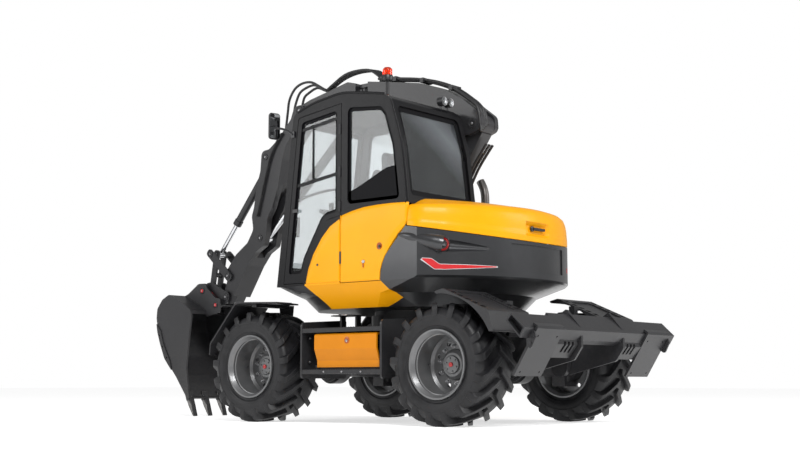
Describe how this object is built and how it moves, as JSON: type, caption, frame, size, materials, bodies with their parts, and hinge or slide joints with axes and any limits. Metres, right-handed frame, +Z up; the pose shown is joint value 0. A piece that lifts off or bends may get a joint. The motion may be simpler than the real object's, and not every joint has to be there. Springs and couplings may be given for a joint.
{
  "type": "wheeled excavator",
  "caption": "Compact wheeled excavator with a swinging three-piece arm, digging bucket, offset cab, rear support frame and steered wheels.",
  "frame": {"origin": "centre of the bounding box at the floor, where the tyres stand", "axes": "+X forward to the bucket, +Y left to the door side, +Z up"},
  "size_m": [5.7654, 2.5, 3.4976],
  "materials": {
    "arm_paint": "satin, scratched",
    "beacon_lens": "clear orange",
    "bucket_steel": "worn and muddy",
    "cab_glass": "tinted, clear",
    "cab_paint": "satin",
    "console_plastic": "moulded",
    "cylinder_paint": "satin",
    "engine_iron": "cast, oily",
    "exhaust_steel": "heat-stained",
    "frame_paint": "satin, dusty",
    "guard_plastic": "moulded, matt",
    "lamp_black": "moulded",
    "lamp_lens": "clear red",
    "panel_paint": "gloss, dusty",
    "rim_paint": "satin, dusty",
    "rod_chrome": "polished",
    "seat_cloth": "woven",
    "tyre": "worn road rubber",
    "weight_paint": "metallic, satin"
  },
  "bodies": {
    "chassis": {"chassis_frame": "frame_paint", "axles": "frame_paint", "side_steps": "frame_paint", "rear_guards": "guard_plastic"},
    "box_lid_left": {"box_lid_left": "panel_paint"},
    "box_lid_right": {"box_lid_right": "panel_paint"},
    "stabiliser": {"stabiliser_frame": "frame_paint", "stabiliser_pads": "frame_paint"},
    "stabiliser_barrel": {"stabiliser_barrel": "cylinder_paint"},
    "stabiliser_rod": {"stabiliser_rod": "rod_chrome"},
    "turret": {"turret_deck": "frame_paint", "counterweight": "weight_paint", "side_panels": "panel_paint", "lower_panels": "panel_paint", "cab_frame": "cab_paint", "cab_glass": "cab_glass", "seat": "seat_cloth", "console": "console_plastic", "engine": "engine_iron", "exhaust": "exhaust_steel", "beacon": "beacon_lens", "work_lamps": "lamp_black", "tail_lamp": "lamp_lens", "mirror": "lamp_black"},
    "hood": {"hood": "panel_paint"},
    "service_door": {"service_door": "panel_paint"},
    "cab_door": {"cab_door": "cab_paint", "cab_door_glass": "cab_glass"},
    "lower_boom": {"lower_boom": "arm_paint"},
    "lift_barrels": {"lift_barrels": "cylinder_paint"},
    "lift_rods": {"lift_rods": "rod_chrome"},
    "upper_boom": {"upper_boom": "arm_paint"},
    "boom_barrel": {"boom_barrel": "cylinder_paint"},
    "boom_rod": {"boom_rod": "rod_chrome"},
    "offset_link": {"offset_link": "arm_paint"},
    "dipper": {"dipper": "arm_paint"},
    "dipper_barrel": {"dipper_barrel": "cylinder_paint"},
    "dipper_rod": {"dipper_rod": "rod_chrome"},
    "bucket": {"coupler": "bucket_steel", "bucket": "bucket_steel"},
    "bucket_rocker": {"bucket_rocker": "frame_paint"},
    "bucket_link": {"bucket_link": "frame_paint"},
    "bucket_barrel": {"bucket_barrel": "cylinder_paint"},
    "bucket_rod": {"bucket_rod": "rod_chrome"},
    "knuckle_front_left": {"knuckle_front_left": "frame_paint"},
    "wheel_front_left": {"tyre_front_left": "tyre", "rim_front_left": "rim_paint"},
    "knuckle_front_right": {"knuckle_front_right": "frame_paint"},
    "wheel_front_right": {"tyre_front_right": "tyre", "rim_front_right": "rim_paint"},
    "knuckle_rear_left": {"knuckle_rear_left": "frame_paint"},
    "wheel_rear_left": {"tyre_rear_left": "tyre", "rim_rear_left": "rim_paint"},
    "knuckle_rear_right": {"knuckle_rear_right": "frame_paint"},
    "wheel_rear_right": {"tyre_rear_right": "tyre", "rim_rear_right": "rim_paint"}
  },
  "joints": [
    {"name": "steer_front_left", "type": "hinge", "parent": "chassis", "child": "knuckle_front_left", "pos_m": [0.3315, 0.8, 0.525], "axis": [0, 0, 1], "range_deg": [-18, 18]},
    {"name": "spin_front_left", "type": "hinge", "parent": "knuckle_front_left", "child": "wheel_front_left", "pos_m": [0.3315, 0.98, 0.525], "axis": [0, 1, 0], "continuous": true},
    {"name": "steer_front_right", "type": "hinge", "parent": "chassis", "child": "knuckle_front_right", "pos_m": [0.3315, -0.8, 0.525], "axis": [0, 0, 1], "range_deg": [-18, 18]},
    {"name": "spin_front_right", "type": "hinge", "parent": "knuckle_front_right", "child": "wheel_front_right", "pos_m": [0.3315, -0.98, 0.525], "axis": [0, 1, 0], "continuous": true},
    {"name": "steer_rear_left", "type": "hinge", "parent": "chassis", "child": "knuckle_rear_left", "pos_m": [-1.9285, 0.8, 0.525], "axis": [0, 0, 1], "range_deg": [-10, 10]},
    {"name": "spin_rear_left", "type": "hinge", "parent": "knuckle_rear_left", "child": "wheel_rear_left", "pos_m": [-1.9285, 0.98, 0.525], "axis": [0, 1, 0], "continuous": true},
    {"name": "steer_rear_right", "type": "hinge", "parent": "chassis", "child": "knuckle_rear_right", "pos_m": [-1.9285, -0.8, 0.525], "axis": [0, 0, 1], "range_deg": [-10, 10]},
    {"name": "spin_rear_right", "type": "hinge", "parent": "knuckle_rear_right", "child": "wheel_rear_right", "pos_m": [-1.9285, -0.98, 0.525], "axis": [0, 1, 0], "continuous": true},
    {"name": "lid_left", "type": "hinge", "parent": "chassis", "child": "box_lid_left", "pos_m": [-0.8485, 1.111, 0.52], "axis": [-1, 0, 0], "range_deg": [0, 90]},
    {"name": "lid_right", "type": "hinge", "parent": "chassis", "child": "box_lid_right", "pos_m": [-0.8485, -1.111, 0.52], "axis": [1, 0, 0], "range_deg": [0, 90]},
    {"name": "stabiliser_swing", "type": "hinge", "parent": "chassis", "child": "stabiliser", "pos_m": [-2.1985, 0, 0.5], "axis": [0, -1, 0], "range_deg": [0, 62]},
    {"name": "stabiliser_barrel_tilt", "type": "hinge", "parent": "chassis", "child": "stabiliser_barrel", "pos_m": [-2.0985, 0, 0.83], "axis": [0, -1, 0], "range_deg": [0, 41]},
    {"name": "stabiliser_rod_slide", "type": "slide", "parent": "stabiliser_barrel", "child": "stabiliser_rod", "axis": [-0.9967, 0, -0.0814], "range_m": [0, 0.275]},
    {"name": "slew", "type": "hinge", "parent": "chassis", "child": "turret", "pos_m": [-0.7985, 0, 1.01], "axis": [0, 0, 1], "continuous": true},
    {"name": "hood_hinge", "type": "hinge", "parent": "turret", "child": "hood", "pos_m": [-1.5385, -0.18, 2.03], "axis": [0, 1, 0], "range_deg": [0, 50]},
    {"name": "service_door_hinge", "type": "hinge", "parent": "turret", "child": "service_door", "pos_m": [-1.5265, 1.122, 1.6], "axis": [0, 0, 1], "range_deg": [0, 90]},
    {"name": "cab_door_hinge", "type": "hinge", "parent": "turret", "child": "cab_door", "pos_m": [-0.7445, 1.112, 2.1], "axis": [0, 0, 1], "range_deg": [0, 105]},
    {"name": "boom_foot", "type": "hinge", "parent": "turret", "child": "lower_boom", "pos_m": [-0.5285, -0.14, 1.35], "axis": [0, 1, 0], "range_deg": [0, 70]},
    {"name": "lift_barrel_tilt", "type": "hinge", "parent": "turret", "child": "lift_barrels", "pos_m": [0.1315, -0.14, 1.15], "axis": [0, 1, 0], "range_deg": [0, 38]},
    {"name": "lift_rod_slide", "type": "slide", "parent": "lift_barrels", "child": "lift_rods", "axis": [-0.7795, 0, 0.6264], "range_m": [-0.54, 0]},
    {"name": "boom_knee", "type": "hinge", "parent": "lower_boom", "child": "upper_boom", "pos_m": [-1.4285, -0.14, 2.84], "axis": [0, 1, 0], "range_deg": [-88, 0]},
    {"name": "boom_barrel_tilt", "type": "hinge", "parent": "lower_boom", "child": "boom_barrel", "pos_m": [-0.51241, -0.14, 1.7102], "axis": [0, 1, 0], "range_deg": [-14, 0]},
    {"name": "boom_rod_slide", "type": "slide", "parent": "boom_barrel", "child": "boom_rod", "axis": [-0.1954, 0, 0.9807], "range_m": [0, 0.91]},
    {"name": "boom_offset", "type": "hinge", "parent": "upper_boom", "child": "offset_link", "pos_m": [0.0215, -0.14, 3.32], "axis": [0, 0, 1], "range_deg": [-45, 45]},
    {"name": "dipper_elbow", "type": "hinge", "parent": "offset_link", "child": "dipper", "pos_m": [0.8915, -0.14, 3.28], "axis": [0, -1, 0], "range_deg": [-25, 50]},
    {"name": "dipper_barrel_tilt", "type": "hinge", "parent": "offset_link", "child": "dipper_barrel", "pos_m": [0.2215, -0.14, 3.1], "axis": [0, -1, 0], "range_deg": [-20, 39]},
    {"name": "dipper_rod_slide", "type": "slide", "parent": "dipper_barrel", "child": "dipper_rod", "axis": [0.733, 0, -0.6802], "range_m": [-0.23, 0.45]},
    {"name": "bucket_curl", "type": "hinge", "parent": "dipper", "child": "bucket", "pos_m": [2.0415, -0.14, 1.32], "axis": [0, 1, 0], "range_deg": [-60, 40]},
    {"name": "rocker_tilt", "type": "hinge", "parent": "dipper", "child": "bucket_rocker", "pos_m": [1.9515, -0.14, 1.55], "axis": [0, 1, 0], "range_deg": [-53, 36]},
    {"name": "link_tilt", "type": "hinge", "parent": "bucket_rocker", "child": "bucket_link", "pos_m": [2.2415, -0.14, 1.81], "axis": [0, 1, 0], "range_deg": [-25, 37]},
    {"name": "bucket_barrel_tilt", "type": "hinge", "parent": "dipper", "child": "bucket_barrel", "pos_m": [1.4015, -0.14, 2.83], "axis": [0, 1, 0], "range_deg": [-3, 4]},
    {"name": "bucket_rod_slide", "type": "slide", "parent": "bucket_barrel", "child": "bucket_rod", "axis": [0.6357, 0, -0.7719], "range_m": [-0.31, 0.21]}
  ],
  "couplings": [
    {"joint": "steer_front_right", "follows": "steer_front_left", "ratio": 1},
    {"joint": "steer_rear_right", "follows": "steer_rear_left", "ratio": 1},
    {"joint": "stabiliser_barrel_tilt", "follows": "stabiliser_swing", "ratio": 0.65},
    {"joint": "stabiliser_rod_slide", "follows": "stabiliser_swing", "m_per_rad": 0.24951},
    {"joint": "lift_barrel_tilt", "follows": "boom_foot", "ratio": 0.53771},
    {"joint": "lift_rod_slide", "follows": "boom_foot", "m_per_rad": -0.43954},
    {"joint": "boom_barrel_tilt", "follows": "boom_knee", "ratio": 0.15591},
    {"joint": "boom_rod_slide", "follows": "boom_knee", "m_per_rad": -0.58924},
    {"joint": "dipper_barrel_tilt", "follows": "dipper_elbow", "ratio": 0.76},
    {"joint": "dipper_rod_slide", "follows": "dipper_elbow", "m_per_rad": 0.5},
    {"joint": "rocker_tilt", "follows": "bucket_curl", "ratio": 0.86},
    {"joint": "link_tilt", "follows": "bucket_curl", "ratio": -0.6},
    {"joint": "bucket_barrel_tilt", "follows": "bucket_curl", "ratio": -0.05},
    {"joint": "bucket_rod_slide", "follows": "bucket_curl", "m_per_rad": 0.29}
  ]
}
